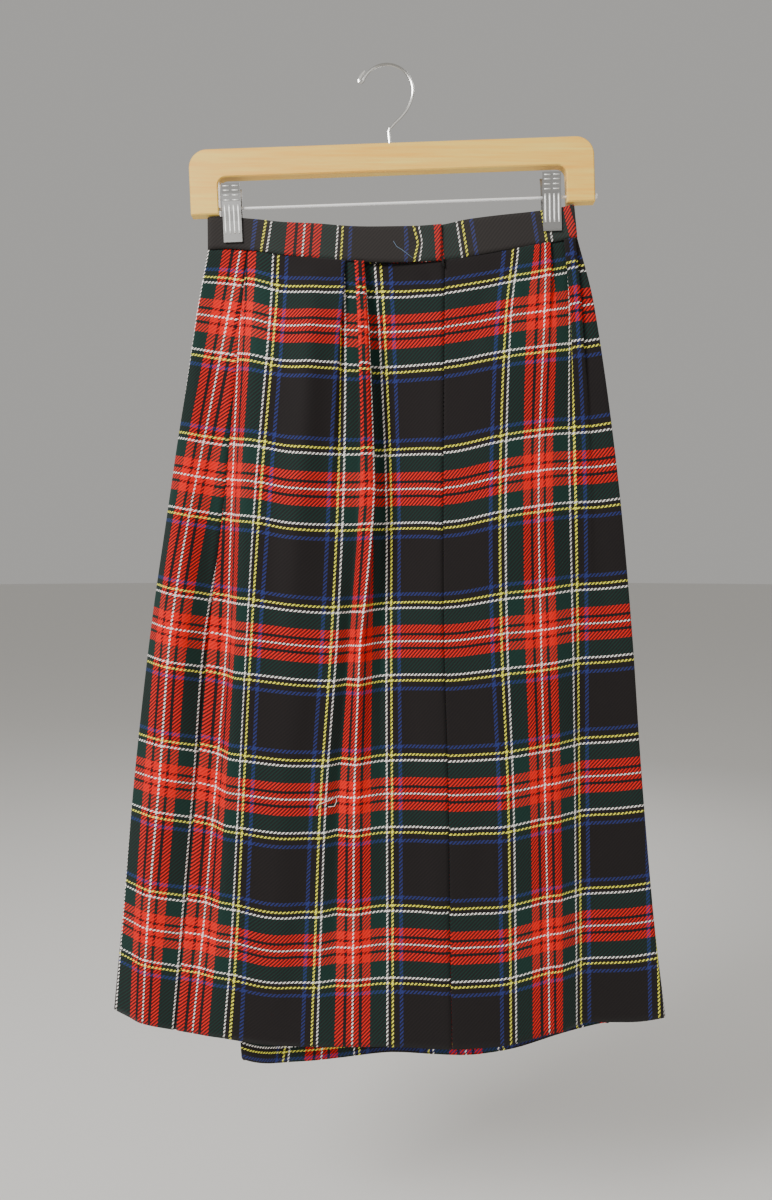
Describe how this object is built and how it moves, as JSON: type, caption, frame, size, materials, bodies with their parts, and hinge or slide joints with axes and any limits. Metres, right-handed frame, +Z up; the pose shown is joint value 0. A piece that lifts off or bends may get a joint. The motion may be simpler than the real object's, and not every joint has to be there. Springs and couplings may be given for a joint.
{
  "type": "pleated tartan skirt on a wooden clip hanger",
  "caption": "A-line tartan skirt with soft pleats at the waist and a lapped waistband, held by two spring clips on a wooden trouser hanger with a wire hook.",
  "frame": {"origin": "inside top of the hanger's hook, where it rests on a rail", "axes": "+Z up, +X to the right seen from the closing side of the skirt, that side faces -Y"},
  "size_m": [0.5488, 0.064, 0.9734],
  "materials": {
    "tartan": "matte",
    "tartan_band": "matte",
    "beech": "satin",
    "steel": "polished"
  },
  "bodies": {
    "root": {"panel_near_left": "tartan", "panel_near_right": "tartan", "panel_far": "tartan", "waistband": "tartan_band", "hanger_body": "beech", "hook": "steel", "rod": "steel", "clip_left_front": "steel", "clip_left_back": "steel", "clip_left_spring": "steel", "clip_right_front": "steel", "clip_right_back": "steel", "clip_right_spring": "steel"}
  },
  "joints": []
}
